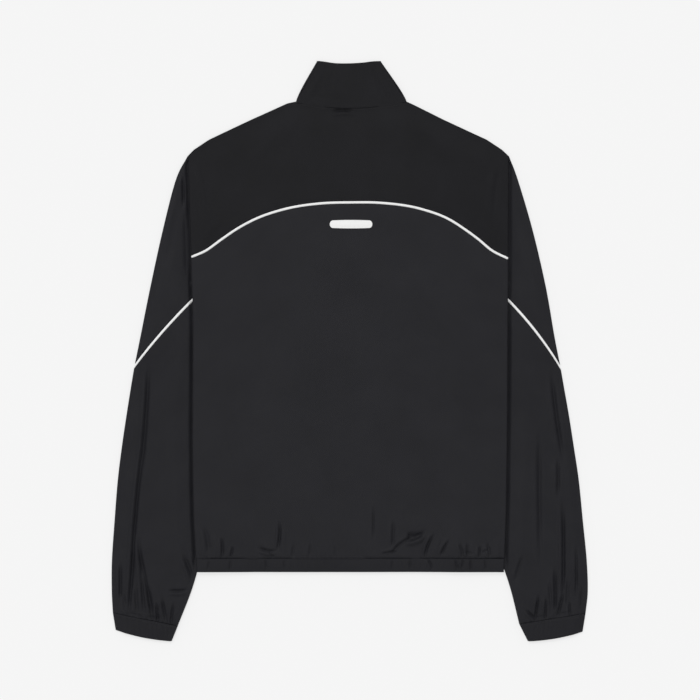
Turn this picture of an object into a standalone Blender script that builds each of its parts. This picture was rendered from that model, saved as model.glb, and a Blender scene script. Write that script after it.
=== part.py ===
"""Track jacket lying flat, back up: collar towards +Y, hem towards -Y, wearer's left at -X.

The jacket rests on z = 0. The two fronts and the undersides of the sleeves lie on the ground,
the back lies over the fronts, and the inner part of each sleeve is tucked under the body's side.
Lengths are in millimetres and are scaled to metres when a mesh is made.
"""
import math

import bmesh
import bpy
import numpy as np

MM = 0.001

# Driving sizes of the cloth
CLOTH = 1.2            # wall of the body and sleeves
CASING = 1.4           # wall of the collar, the hem band and the cuffs
SEAM_GAP = 0.3         # clear gap between neighbouring pieces
FOLD_RADIUS = 2.0      # outer radius where a flattened tube turns round its edge
TUCK_HEIGHT = 2 * FOLD_RADIUS + SEAM_GAP   # the fronts clear a tucked sleeve by the seam gap
TUCK_INNER, TUCK_OUTER = 140.0, 154.0      # the fronts rise between these distances from x = 0
TUCK_TOP, TUCK_END = 146.0, 106.0          # and between these places along the body
BACK_HEIGHT = 5.9      # top of the back in the middle
BACK_OVER_TUCK = 7.5   # top of the back over the tucked sleeves
SHOULDER_HEIGHT = 3.0  # top of the yoke at the shoulder and the neck
SLEEVE_PUFF = 1.8      # how much the visible sleeve rises over its folded edges
HEM_SEAM_Y, HEM_EDGE_Y = -289.5, -308.5
PIPING_WIDTH = 4.4
PIPING_PROUD = 0.5     # how far the piping stands over the cloth
ZIP_HALF_OPENING = 6.0

# Side line of the body, from the shoulder tip to the hem: y, left x, right x
SIDE_LINE = (
    (272.0, -226.2, 221.9),
    (106.0, -220.6, 220.9),
    (71.0, -219.4, 220.6),
    (-139.0, -219.0, 219.2),
    (-236.0, -217.2, 217.6),
    (-309.0, -213.4, 214.8),
)

# Shoulder and back neck, from the left shoulder tip to the right one: x, y
SHOULDER_LINE = (
    (-226.2, 272.4), (-218.0, 281.0), (-197.0, 295.0), (-138.0, 323.0), (-87.0, 346.0),
    (-74.0, 348.6), (-40.0, 343.0), (0.0, 340.6), (40.0, 343.0), (78.0, 349.0),
    (88.0, 344.5), (131.0, 323.2), (191.0, 295.4), (212.5, 281.2), (221.9, 272.4),
)

# Seam between the yoke and the lower back: x, y
YOKE_SEAM = (
    (-220.4, 131.4), (-201.0, 140.0), (-180.0, 155.0), (-159.0, 169.4), (-135.0, 182.6),
    (-93.0, 197.4), (-41.0, 205.8), (1.0, 207.2), (43.0, 206.6), (102.0, 197.4),
    (139.0, 183.4), (161.0, 169.4), (180.0, 155.4), (197.0, 141.2), (220.6, 129.0),
)

# Columns of the back's mesh, by their distance from x = 0; the last one is the side line
BACK_COLUMNS = (0.0, 16.0, 32.0, 48.0, 64.0, 80.0, 96.0, 112.0, 126.0, 140.0, 149.0, 158.0,
                180.0, 203.0)

# Front half of the collar, from the folded edge to the zip: seam x, y and top x, y
COLLAR_FRONT_LEFT = (
    (-74.5, 349.0, -45.5, 405.2),
    (-73.0, 332.0, -38.0, 391.0),
    (-66.0, 312.0, -29.0, 373.0),
    (-55.0, 294.0, -21.0, 353.0),
    (-38.0, 277.0, -12.0, 334.0),
    (-ZIP_HALF_OPENING, 262.0, -ZIP_HALF_OPENING, 318.0),
)
COLLAR_FRONT_RIGHT = (
    (78.5, 349.6, 43.0, 405.0),
    (75.0, 332.0, 37.0, 391.0),
    (67.0, 312.0, 29.0, 373.0),
    (55.0, 294.0, 21.0, 353.0),
    (38.0, 277.0, 12.0, 334.0),
    (ZIP_HALF_OPENING, 262.0, ZIP_HALF_OPENING, 318.0),
)
# Back of the collar, between the folded edges: seam x, y and top x, y
COLLAR_BACK = (
    (-56.0, 346.2, -36.0, 404.2),
    (-28.0, 342.4, -20.0, 402.0),
    (0.0, 341.2, 0.0, 401.8),
    (30.0, 342.6, 18.0, 402.8),
    (58.0, 346.4, 33.0, 404.6),
)

# Sections of the sleeves: outer x, y; inner x, y; bow of the section towards the shoulder
UPPER_SLEEVE_LEFT = (
    (-226.7, 272.0, -221.1, 106.0, 0.0),
    (-243.0, 239.0, -220.9, 100.0, 0.0),
    (-261.2, 169.0, -219.3, 96.0, 0.0),
    (-278.5, 90.0, -215.8, 93.0, 1.0),
    (-292.5, 20.0, -211.0, 90.8, 2.0),
)
UPPER_SLEEVE_RIGHT = (
    (222.4, 272.0, 221.4, 106.0, 0.0),
    (234.8, 239.0, 221.2, 100.0, 0.0),
    (255.4, 169.0, 219.6, 96.0, 0.0),
    (273.8, 90.0, 216.0, 93.4, 1.5),
    (286.0, 20.0, 211.0, 91.8, 3.5),
)
LOWER_SLEEVE_LEFT = (
    (-301.0, -22.0, -204.0, 86.5, 3.0),
    (-306.0, -52.0, -178.0, 48.0, 2.0),
    (-312.0, -90.0, -162.0, -12.0, 0.0),
    (-318.6, -135.0, -160.0, -80.0, 0.0),
    (-324.2, -181.0, -169.0, -145.0, 0.0),
    (-328.6, -237.0, -187.0, -212.0, 0.0),
    (-332.3, -292.0, -207.0, -281.0, 0.0),
    (-332.5, -335.0, -222.0, -333.0, 0.0),
    (-331.0, -365.5, -240.0, -383.5, 0.0),
)
LOWER_SLEEVE_RIGHT = (
    (294.6, -24.0, 204.0, 88.0, 5.0),
    (299.5, -52.0, 178.0, 48.0, 3.0),
    (306.2, -90.0, 162.0, -12.0, 0.0),
    (313.2, -135.0, 160.0, -80.0, 0.0),
    (320.0, -181.0, 169.0, -145.0, 0.0),
    (325.6, -237.0, 187.0, -212.0, 0.0),
    (331.0, -292.0, 207.5, -281.0, 0.0),
    (332.5, -335.0, 224.0, -331.0, 0.0),
    (329.4, -366.0, 236.5, -381.0, 0.0),
)
CUFF_LEFT = ((-331.0, -365.5, -240.0, -383.5, 0.0), (-327.0, -389.6, -248.6, -405.2, 0.0))
CUFF_RIGHT = ((329.4, -366.0, 236.5, -381.0, 0.0), (325.2, -392.0, 248.6, -405.2, 0.0))

# Label on the upper back
LABEL_CENTRE = (1.8, 176.8)
LABEL_LENGTH, LABEL_HEIGHT, LABEL_THICKNESS = 59.5, 11.9, 1.0

# Folds pressed into the back above the elastic hem: x, y, half width, half length, height
HEM_FOLDS = (
    (-176.0, -262.0, 14.0, 30.0, 0.8),
    (-112.0, -264.0, 15.0, 24.0, 1.0),
    (32.0, -250.0, 14.0, 26.0, 0.8),
    (84.0, -256.0, 17.0, 28.0, 1.3),
    (158.0, -266.0, 15.0, 24.0, 0.9),
)


def smooth(start, end, value):
    """0 before start, 1 past end, and an S-shaped rise between them."""
    share = np.clip((np.asarray(value, float) - start) / (end - start), 0.0, 1.0)
    return share * share * (3.0 - 2.0 * share)


def through(keys, values, at):
    """A smooth curve through the given values, read at one or many places."""
    keys, values = np.asarray(keys, float), np.asarray(values, float)
    slopes = np.gradient(values, keys)
    at = np.clip(np.asarray(at, float), keys[0], keys[-1])
    low = np.clip(np.searchsorted(keys, at) - 1, 0, len(keys) - 2)
    step = keys[low + 1] - keys[low]
    part = (at - keys[low]) / step
    start, end = values[low], values[low + 1]
    return (start * (1 + 2 * part) * (1 - part) ** 2 + end * part ** 2 * (3 - 2 * part)
            + step * slopes[low] * part * (1 - part) ** 2
            - step * slopes[low + 1] * part ** 2 * (1 - part))


def side_x(side, y):
    """The body's side line: side -1 is the wearer's left."""
    rows = SIDE_LINE[::-1]
    column = 1 if side < 0 else 2
    return through([row[0] for row in rows], [row[column] for row in rows], y)


def shoulder_y(x):
    return np.interp(x, [row[0] for row in SHOULDER_LINE], [row[1] for row in SHOULDER_LINE])


def yoke_seam_y(x, offset=0.0):
    """The yoke seam, moved square to itself by the offset."""
    keys = [row[0] for row in YOKE_SEAM]
    values = [row[1] for row in YOKE_SEAM]
    slope = (through(keys, values, x + 1.0) - through(keys, values, x - 1.0)) / 2.0
    return through(keys, values, x) + offset * np.sqrt(1.0 + slope * slope)


def over_tuck(y):
    """1 along the body's sides where a sleeve is tucked under them, 0 beside the armholes."""
    return 1.0 - smooth(TUCK_END, TUCK_TOP, y)


def front_level(x, y):
    """Underside of the fronts: on the ground, and over the tucked sleeves at the sides."""
    return TUCK_HEIGHT * over_tuck(y) * smooth(TUCK_INNER, TUCK_OUTER, np.abs(x))


def back_level(x, y):
    """Top of the back: a low crown, pressed down at the armholes, shoulders and neck."""
    side = np.where(x < 0, -1, 1)
    to_side = np.where(side < 0, x - side_x(-1, y), side_x(1, y) - x)
    tucked = BACK_HEIGHT + (BACK_OVER_TUCK - BACK_HEIGHT) * smooth(
        TUCK_INNER - 15.0, TUCK_OUTER + 4.0, np.abs(x))
    beside = 2 * FOLD_RADIUS + (BACK_HEIGHT - 2 * FOLD_RADIUS) * smooth(0.0, 38.0, to_side)
    level = over_tuck(y) * tucked + (1.0 - over_tuck(y)) * beside
    to_shoulder = 0.9 * (shoulder_y(x) - y)
    level = SHOULDER_HEIGHT + (level - SHOULDER_HEIGHT) * smooth(0.0, 30.0, to_shoulder)
    for fold_x, fold_y, half_width, half_length, height in HEM_FOLDS:
        across = ((x - fold_x) / half_width) ** 2
        along = ((y - fold_y) / half_length) ** 2
        level = level + height * np.exp(-across - along)
    return level


def fabric(name, colour, roughness, metallic=0.0):
    material = bpy.data.materials.new(name)
    material.use_nodes = True
    shader = material.node_tree.nodes["Principled BSDF"]
    shader.inputs["Base Color"].default_value = (*colour, 1.0)
    shader.inputs["Roughness"].default_value = roughness
    shader.inputs["Metallic"].default_value = metallic
    return material


def finish(part, name, material, thickness=None, even=False):
    """Names the object, thickens an open surface inwards and puts it in the jacket."""
    part.name = part.data.name = name
    part.data.materials.clear()
    part.data.materials.append(material)
    if thickness:
        shell = part.modifiers.new("Cloth", "SOLIDIFY")
        shell.thickness = thickness * MM
        shell.offset = -1.0
        shell.use_even_offset = even
    for collection in list(part.users_collection):
        collection.objects.unlink(part)
    jacket.objects.link(part)
    return part


def sheet(name, columns, rows, place, material, thickness=CLOTH, face_down=False):
    """An open grid whose point in column i and row j is place(i, j), thickened inwards."""
    bpy.ops.mesh.primitive_grid_add(x_subdivisions=columns - 1, y_subdivisions=rows - 1, size=1)
    part = bpy.context.object
    for vertex in part.data.vertices:
        i = round((vertex.co.x + 0.5) * (columns - 1))
        j = round((vertex.co.y + 0.5) * (rows - 1))
        vertex.co = [value * MM for value in place(i, j)]
    if face_down:
        part.data.flip_normals()
    return finish(part, name, material, thickness, even=True)


def strip_loft(name, strips, material, thickness):
    """A surface through open strips of points, with its outer side facing out, thickened."""
    strips = np.asarray(strips, float)
    count, across = strips.shape[:2]
    points = (strips.reshape(-1, 3) * MM).tolist()
    faces = [(i * across + j, i * across + j + 1, (i + 1) * across + j + 1, (i + 1) * across + j)
             for i in range(count - 1) for j in range(across - 1)]
    mesh = bpy.data.meshes.new(name)
    mesh.from_pydata(points, [], faces)
    mesh.update()
    top = max(mesh.polygons, key=lambda face: face.center.z * abs(face.normal.z))
    if top.normal.z < 0:
        mesh.flip_normals()
    part = bpy.data.objects.new(name, mesh)
    jacket.objects.link(part)
    return finish(part, name, material, thickness)


def between(rows, share):
    """A row between the rows of a table, on a smooth curve through them; share is 0 to 1."""
    table = np.asarray(rows, float)
    if len(table) == 2:
        return table[0] + (table[1] - table[0]) * share
    keys = np.linspace(0.0, 1.0, len(table))
    return np.array([float(through(keys, table[:, column], share))
                     for column in range(table.shape[1])])


def moved_row(row, distance, toward):
    """A section moved square to itself, with its outer end sliding towards the next section's.

    A positive distance is towards the shoulder.
    """
    outer, inner = np.array(row[:2]), np.array(row[2:4])
    along = (inner - outer) / np.linalg.norm(inner - outer)
    square = np.array([-along[1], along[0]]) * (1.0 if inner[0] > outer[0] else -1.0)
    slide = np.array(toward[:2]) - outer
    outer = outer + slide * distance / slide.dot(square)
    inner = inner + square * distance
    return np.array([*outer, *inner, row[4]])


def sleeve_section(row, wall, proud=0.0):
    """A flattened sleeve's outer and inner ring: flat below, rounded at the edges, low above."""
    outer, inner = np.array(row[:2]), np.array(row[2:4])
    bow = row[4]
    width = np.linalg.norm(inner - outer)
    along = (inner - outer) / width
    square = np.array([-along[1], along[0]]) * (1.0 if inner[0] > outer[0] else -1.0)
    side = -1 if outer[0] < 0 else 1
    flat = np.linspace(FOLD_RADIUS, width - FOLD_RADIUS, 6)
    turn = np.linspace(0.0, math.pi, 5)[1:-1]
    rings = []
    for radius in (FOLD_RADIUS, FOLD_RADIUS - wall):
        ring = [(place, FOLD_RADIUS + radius) for place in flat]
        ring += [(width - FOLD_RADIUS + radius * math.sin(angle),
                  FOLD_RADIUS + radius * math.cos(angle)) for angle in turn]
        ring += [(place, FOLD_RADIUS - radius) for place in flat[::-1]]
        ring += [(FOLD_RADIUS - radius * math.sin(angle),
                  FOLD_RADIUS - radius * math.cos(angle)) for angle in turn]
        points = []
        for number, (place, height) in enumerate(ring):
            share = place / width
            plan = outer + along * place + square * bow * 4.0 * share * (1.0 - share)
            if number < len(flat):
                outside = abs(plan[0]) - abs(float(side_x(side, plan[1])))
                room = float(smooth(22.0, 44.0, outside) * smooth(FOLD_RADIUS, 22.0, place))
                height += SLEEVE_PUFF * room
                if radius == FOLD_RADIUS:
                    height += proud * room
            points.append((plan[0], plan[1], height))
        rings.append(points)
    return rings


def tube(name, rows, wall, material, proud=0.0):
    """A flattened tube with a wall, open at both ends, through sections square to the ground."""
    sections = np.array([sleeve_section(row, wall, proud) for row in rows])
    count, _, around, _ = sections.shape

    def number(i, layer, j):
        return (i * 2 + layer) * around + j % around

    faces = []
    for j in range(around):
        for i in range(count - 1):
            faces.append((number(i, 0, j), number(i, 0, j + 1),
                          number(i + 1, 0, j + 1), number(i + 1, 0, j)))
            faces.append((number(i, 1, j + 1), number(i, 1, j),
                          number(i + 1, 1, j), number(i + 1, 1, j + 1)))
        for i in (0, count - 1):
            faces.append((number(i, 0, j), number(i, 1, j),
                          number(i, 1, j + 1), number(i, 0, j + 1)))
    work = bmesh.new()
    corners = [work.verts.new(point) for point in (sections.reshape(-1, 3) * MM).tolist()]
    for face in faces:
        work.faces.new([corners[corner] for corner in face])
    bmesh.ops.recalc_face_normals(work, faces=work.faces)
    mesh = bpy.data.meshes.new(name)
    work.to_mesh(mesh)
    work.free()
    part = bpy.data.objects.new(name, mesh)
    jacket.objects.link(part)
    return finish(part, name, material)


for old in list(bpy.data.objects):
    bpy.data.objects.remove(old, do_unlink=True)
jacket = bpy.data.collections.new("track_jacket")
bpy.context.scene.collection.children.link(jacket)

black_cloth = fabric("black_woven_cloth", (0.022, 0.021, 0.024), 0.62)
black_elastic = fabric("black_elastic_casing", (0.020, 0.019, 0.022), 0.68)
white_piping = fabric("white_piping", (0.80, 0.80, 0.80), 0.50)
white_label = fabric("white_label", (0.82, 0.82, 0.82), 0.45)
black_tape = fabric("black_zip_tape", (0.018, 0.018, 0.020), 0.75)
black_metal = fabric("black_enamelled_metal", (0.015, 0.015, 0.016), 0.35, 0.6)

# ---- Back: the yoke, its piping and the lower back ------------------------------------------
BACK_COLUMN_COUNT = 2 * len(BACK_COLUMNS) + 1
# Rows of the lower back and of the yoke, as shares of the way up at each column
BODY_SHARES = (0.0, 0.035, 0.07, 0.11, 0.16, 0.23, 0.33, 0.45, 0.58, 0.71, 0.83, 0.938, 0.967,
               1.0)
YOKE_SHARES = (0.0, 0.087, 0.24, 0.41, 0.57, 0.71, 0.83, 0.92, 1.0)


def back_x(i, y):
    """Column i of the back, counted from the left side line, at the height y on the body."""
    middle = len(BACK_COLUMNS)
    if i == 0 or i == 2 * middle:
        return float(side_x(-1 if i == 0 else 1, y))
    return math.copysign(BACK_COLUMNS[abs(i - middle)], i - middle)


def back_sheet(name, shares, low_y, high_y, material, proud=0.0):
    """A piece of the back between two lines across it, each a function of x."""
    side_low = [float(low_y(float(side_x(side, 130.0)))) for side in (-1, 1)]
    side_high = [float(high_y(float(side_x(side, 272.0)))) for side in (-1, 1)]

    def place(i, j):
        share = shares[j]
        edge = 0 if i < BACK_COLUMN_COUNT // 2 else 1
        x = back_x(i, side_low[edge] + (side_high[edge] - side_low[edge]) * share)
        y = float(low_y(x)) + (float(high_y(x)) - float(low_y(x))) * share
        return x, y, float(back_level(x, y)) + proud

    return sheet(name, BACK_COLUMN_COUNT, len(shares), place, material)


half_piping = PIPING_WIDTH / 2.0
back_sheet("back_body", BODY_SHARES, lambda x: HEM_SEAM_Y + SEAM_GAP,
           lambda x: yoke_seam_y(x, -half_piping - SEAM_GAP), black_cloth)
back_sheet("yoke_piping", (0.0, 1.0), lambda x: yoke_seam_y(x, -half_piping),
           lambda x: yoke_seam_y(x, half_piping), white_piping, proud=PIPING_PROUD)
back_sheet("back_yoke", YOKE_SHARES, lambda x: yoke_seam_y(x, half_piping + SEAM_GAP),
           shoulder_y, black_cloth)

# ---- Fronts: two halves that meet at the zip, under the back --------------------------------
FRONT_COLUMNS = (88.0, 112.0, 132.0, 140.0, 147.0, 154.0, 180.0, 204.0)
FRONT_ROWS = (HEM_SEAM_Y + SEAM_GAP, -235.0, -135.0, -30.0, 60.0, 106.0, 118.0, 131.0, 146.0)
FRONT_TOP_SHARES = (0.3, 0.6, 0.85, 1.0)   # rows above those, as shares of the way to the top


def front(side, collar_rows, name):
    """A front: along the neck its columns stand just outside the collar's seam."""
    neck = np.array([row[:2] for row in collar_rows[::-1]])
    run = np.gradient(neck, axis=0)
    outward = np.stack([run[:, 1], -run[:, 0]], axis=1) * side
    outward /= np.linalg.norm(outward, axis=1)[:, None]
    neck = neck + outward * 1.5 * SEAM_GAP
    neck[0] = (side * ZIP_HALF_OPENING, neck[0][1])
    tops = [tuple(point) for point in neck]
    tops += [(side * x, float(shoulder_y(side * x))) for x in FRONT_COLUMNS]
    tops += [(float(side_x(side, 272.0)), 272.0)]
    count = len(tops)

    def place(i, j):
        column = i if side > 0 else count - 1 - i
        top_x, top_y = tops[column]
        if j < len(FRONT_ROWS):
            y = FRONT_ROWS[j]
        else:
            y = FRONT_ROWS[-1] + (top_y - FRONT_ROWS[-1]) * FRONT_TOP_SHARES[j - len(FRONT_ROWS)]
        x = float(side_x(side, y)) if column == count - 1 else top_x
        return x, y, float(front_level(x, y))

    rows = len(FRONT_ROWS) + len(FRONT_TOP_SHARES)
    return sheet(name, count, rows, place, black_cloth, face_down=True)


front(-1, COLLAR_FRONT_LEFT, "front_left")
front(1, COLLAR_FRONT_RIGHT, "front_right")

# ---- Collar: one standing strip, flattened, open at the zip ---------------------------------
COLLAR_ROWS = 5


def collar_strip(row, height, shift=0.0, out=(0.0, 0.0)):
    """Points of the collar from its seam to its top edge at one place round the neck."""
    seam, top = np.array(row[:2]), np.array(row[2:])
    return [(*(seam + (top - seam) * share + np.array(out) * shift), height)
            for share in np.linspace(0.0, 1.0, COLLAR_ROWS)]


def collar_fold(row, side):
    """The collar's turn at its folded edge, from the lower layer to the upper one."""
    seam, top = np.array(row[:2]), np.array(row[2:])
    along = (top - seam) / np.linalg.norm(top - seam)
    out = np.array([along[1], -along[0]]) * side
    strips = []
    for angle in np.linspace(0.0, math.pi, 6):
        strips.append(collar_strip(row, FOLD_RADIUS - FOLD_RADIUS * math.cos(angle),
                                   FOLD_RADIUS * (math.sin(angle) - 1.0), out))
    return strips


strips = [collar_strip(row, 0.0) for row in COLLAR_FRONT_LEFT[:0:-1]]
strips += collar_fold(COLLAR_FRONT_LEFT[0], -1)
strips += [collar_strip(row, 2 * FOLD_RADIUS) for row in COLLAR_BACK]
strips += collar_fold(COLLAR_FRONT_RIGHT[0], 1)[::-1]
strips += [collar_strip(row, 0.0) for row in COLLAR_FRONT_RIGHT[1:]]
strip_loft("collar", strips, black_cloth, CASING)

# ---- Hem band: an elastic casing round the whole hem, open at the zip -----------------------
BAND_COLUMNS = (32.0, 64.0, 96.0, 126.0, 140.0, 147.0, 154.0, 180.0, 200.0)


def band_strip(x, height):
    return [(x, HEM_SEAM_Y + (HEM_EDGE_Y - HEM_SEAM_Y) * share, height)
            for share in (0.0, 0.5, 1.0)]


def band_fold(side):
    """The band's turn at the body's side, from the lower layer to the upper one."""
    strips = []
    for angle in np.linspace(0.0, math.pi, 6):
        points = []
        for x, y, height in band_strip(0.0, TUCK_HEIGHT):
            edge = float(side_x(side, y)) - side * FOLD_RADIUS * (1.0 - math.sin(angle))
            points.append((edge, y, height + FOLD_RADIUS * (1.0 - math.cos(angle))))
        strips.append(points)
    return strips


def band_top(x):
    """Top of the band: just over the back, and level with its own turn at the sides."""
    low = float(back_level(x, HEM_SEAM_Y)) + SEAM_GAP
    return low + (TUCK_HEIGHT + 2 * FOLD_RADIUS - low) * float(smooth(170.0, 205.0, abs(x)))


lower = [ZIP_HALF_OPENING, *BAND_COLUMNS]
strips = [band_strip(-x, float(front_level(x, HEM_SEAM_Y))) for x in lower]
strips += band_fold(-1)
strips += [band_strip(-x, band_top(-x)) for x in BAND_COLUMNS[::-1]] + [band_strip(0.0, band_top(0.0))]
strips += [band_strip(x, band_top(x)) for x in BAND_COLUMNS]
strips += band_fold(1)[::-1]
strips += [band_strip(x, float(front_level(x, HEM_SEAM_Y))) for x in lower[::-1]]
strip_loft("hem_band", strips, black_elastic, CASING)


# ---- Sleeves: flattened tubes from the armholes to the cuffs --------------------------------
def sleeve(suffix, upper, lower, cuff):
    """Upper sleeve, piping, lower sleeve and cuff, all from sections of one flat tube."""
    seam_clear = half_piping + SEAM_GAP
    seam, wrist, above, below = lower[0], cuff[0], upper[-1], lower[1]
    upper = [*upper, moved_row(seam, seam_clear, above)]
    tube("sleeve_upper_" + suffix,
         [between(upper, share) for share in (*np.linspace(0.0, 0.84, 8), 1.0)],
         CLOTH, black_cloth)
    tube("sleeve_piping_" + suffix,
         [moved_row(seam, half_piping, above), moved_row(seam, -half_piping, below)],
         CLOTH, white_piping, PIPING_PROUD)
    run = [between(lower, share) for share in np.linspace(0.08, 0.93, 10)]
    tube("sleeve_lower_" + suffix,
         [moved_row(seam, -seam_clear, below), *run, moved_row(wrist, SEAM_GAP / 2, lower[-2])],
         CLOTH, black_cloth)
    tube("cuff_" + suffix,
         [moved_row(wrist, -SEAM_GAP / 2, cuff[1]), between(cuff, 0.5), np.array(cuff[1])],
         CASING, black_elastic)


sleeve("l", UPPER_SLEEVE_LEFT, LOWER_SLEEVE_LEFT, CUFF_LEFT)
sleeve("r", UPPER_SLEEVE_RIGHT, LOWER_SLEEVE_RIGHT, CUFF_RIGHT)

# ---- Label: a plain pill on the upper back --------------------------------------------------
label_x, label_y = LABEL_CENTRE
label_round = LABEL_HEIGHT / 2.0
bpy.ops.mesh.primitive_cylinder_add(vertices=24, radius=label_round * MM, end_fill_type="NGON",
                                    depth=LABEL_THICKNESS * MM)
label = bpy.context.object
label_level = float(back_level(label_x, label_y)) + SEAM_GAP + LABEL_THICKNESS / 2.0
for vertex in label.data.vertices:
    stretch = math.copysign(LABEL_LENGTH / 2.0 - label_round, vertex.co.x)
    vertex.co.x += stretch * MM
label.location = (label_x * MM, label_y * MM, label_level * MM)
finish(label, "label", white_label)

# ---- Zip: closed down the middle of the fronts, on their inner side ------------------------
TAPE_LOW, TAPE_HIGH = 1.7, 2.5
TAPE_INNER, TAPE_OUTER = 2.9, 15.0
ZIP_LOW_Y, ZIP_HIGH_Y = -306.0, 316.0
CHAIN_HALF, CHAIN_LOW, CHAIN_HIGH = 2.6, 1.3, 3.0
SLIDER_LOW_Y, SLIDER_HIGH_Y = 300.0, 311.0
PLATE_HALF, POST_HALF = 4.4, 2.2
PIN_Y, PIN_Z, PIN_RADIUS = 297.4, 1.0, 0.3
BARREL_RADIUS, BARREL_BORE, BARREL_HALF = 0.85, 0.55, 1.6
EAR_INNER, EAR_OUTER = 1.9, 3.1
PULL_LENGTH, PULL_HALF = 24.0, 2.8
PULL_LOW, PULL_HIGH = 0.2, 1.0


def box(name, low, high, material):
    """A box between two corners."""
    bpy.ops.mesh.primitive_cube_add(size=1)
    part = bpy.context.object
    low, high = np.array(low), np.array(high)
    for vertex in part.data.vertices:
        share = np.array(vertex.co) + 0.5
        vertex.co = ((low + (high - low) * share) * MM).tolist()
    return finish(part, name, material)


def prism(name, outline, low_x, high_x, material):
    """A flat outline of y, z points drawn out along x."""
    work = bmesh.new()
    corners = [work.verts.new((low_x * MM, y * MM, z * MM)) for y, z in outline]
    face = work.faces.new(corners)
    moved = bmesh.ops.extrude_face_region(work, geom=[face])["geom"]
    for item in moved:
        if isinstance(item, bmesh.types.BMVert):
            item.co.x = high_x * MM
    bmesh.ops.recalc_face_normals(work, faces=work.faces)
    mesh = bpy.data.meshes.new(name)
    work.to_mesh(mesh)
    work.free()
    part = bpy.data.objects.new(name, mesh)
    jacket.objects.link(part)
    return finish(part, name, material)


def join(part, other):
    """Adds the other solid to this one and drops it."""
    union = part.modifiers.new("Join", "BOOLEAN")
    union.operation = "UNION"
    union.solver = "EXACT"
    union.object = other
    bpy.context.view_layer.update()
    solid = bpy.data.meshes.new_from_object(
        part.evaluated_get(bpy.context.evaluated_depsgraph_get()))
    part.modifiers.clear()
    part.data = solid
    bpy.data.objects.remove(other, do_unlink=True)


def pin_along_x(name, radius, half_length, material, sides=16):
    bpy.ops.mesh.primitive_cylinder_add(vertices=sides, radius=radius * MM,
                                        depth=2 * half_length * MM)
    part = bpy.context.object
    for vertex in part.data.vertices:
        x, y, z = vertex.co
        vertex.co = (z, y + PIN_Y * MM, -x + PIN_Z * MM)
    return finish(part, name, material)


box("zip_tape_l", (-TAPE_OUTER, ZIP_LOW_Y, TAPE_LOW), (-TAPE_INNER, ZIP_HIGH_Y, TAPE_HIGH),
    black_tape)
box("zip_tape_r", (TAPE_INNER, ZIP_LOW_Y, TAPE_LOW), (TAPE_OUTER, ZIP_HIGH_Y, TAPE_HIGH),
    black_tape)
box("zip_chain", (-CHAIN_HALF, ZIP_LOW_Y, CHAIN_LOW), (CHAIN_HALF, PIN_Y - 1.5, CHAIN_HIGH),
    black_tape)

# The slider: two plates and a post between the tapes, with ears that hold a pin
slider = box("zip_slider", (-PLATE_HALF, SLIDER_LOW_Y, 0.2),
             (PLATE_HALF, SLIDER_HIGH_Y, TAPE_LOW - SEAM_GAP), black_metal)
join(slider, box("plate", (-PLATE_HALF, SLIDER_LOW_Y, TAPE_HIGH + SEAM_GAP),
                 (PLATE_HALF, SLIDER_HIGH_Y, 4.0), black_metal))
join(slider, box("post", (-POST_HALF, SLIDER_LOW_Y + 2.0, 0.8),
                 (POST_HALF, SLIDER_HIGH_Y - 2.0, 3.4), black_metal))
for side in (-1, 1):
    inner, outer = sorted((side * EAR_INNER, side * EAR_OUTER))
    join(slider, box("ear", (inner, PIN_Y - 1.2, 0.3), (outer, SLIDER_LOW_Y + 0.6, 1.2),
                     black_metal))
join(slider, pin_along_x("pin", PIN_RADIUS, EAR_INNER + 0.5, black_metal, 8))

# The pull: a tab on a barrel that turns round the slider's pin
pull = pin_along_x("zip_pull", BARREL_RADIUS, BARREL_HALF, black_metal)
join(pull, box("tab", (-PULL_HALF, PIN_Y - PULL_LENGTH, PULL_LOW),
               (PULL_HALF, PIN_Y - 1.5, PULL_HIGH), black_metal))
join(pull, box("neck", (-BARREL_HALF, PIN_Y - 3.0, PULL_LOW), (BARREL_HALF, PIN_Y, PULL_HIGH),
               black_metal))
bore = pin_along_x("bore", BARREL_BORE, BARREL_HALF + 1.0, black_metal)
cut = pull.modifiers.new("Bore", "BOOLEAN")
cut.operation = "DIFFERENCE"
cut.object = bore
bpy.context.view_layer.update()
drilled = bpy.data.meshes.new_from_object(
    pull.evaluated_get(bpy.context.evaluated_depsgraph_get()))
pull.modifiers.clear()
pull.data = drilled
bpy.data.objects.remove(bore, do_unlink=True)
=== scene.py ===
"""The looks of a black woven track jacket that lies flat with its back up.

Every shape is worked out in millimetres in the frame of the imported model, and is scaled to metres
when its mesh is made.
"""

import math

import bmesh
import bpy
import numpy as np
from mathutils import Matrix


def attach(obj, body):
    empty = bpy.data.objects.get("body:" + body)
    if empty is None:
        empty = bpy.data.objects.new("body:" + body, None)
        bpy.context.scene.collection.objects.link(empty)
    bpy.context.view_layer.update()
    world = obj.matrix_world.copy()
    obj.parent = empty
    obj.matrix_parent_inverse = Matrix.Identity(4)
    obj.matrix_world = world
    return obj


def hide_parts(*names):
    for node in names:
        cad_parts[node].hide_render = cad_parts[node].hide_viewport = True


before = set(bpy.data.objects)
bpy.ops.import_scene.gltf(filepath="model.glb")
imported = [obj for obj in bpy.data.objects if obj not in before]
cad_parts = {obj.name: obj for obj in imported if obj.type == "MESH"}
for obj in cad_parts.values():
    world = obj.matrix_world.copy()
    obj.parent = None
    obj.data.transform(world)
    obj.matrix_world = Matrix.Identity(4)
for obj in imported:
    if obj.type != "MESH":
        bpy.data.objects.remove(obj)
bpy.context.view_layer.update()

# ==== Lower back =============================================================================
# The big panel from the piped yoke seam to the elastic hem, cut in one piece of plain woven
# polyester. It is held by the side seams, the yoke seam and the hem casing, which gathers it.
MM = 0.001
SIDE_LINE = (  # y, left x, right x
    (272, -226.2, 221.9), (106, -220.6, 220.9), (71, -219.4, 220.6),
    (-139, -219, 219.2), (-236, -217.2, 217.6), (-309, -213.4, 214.8))
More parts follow.
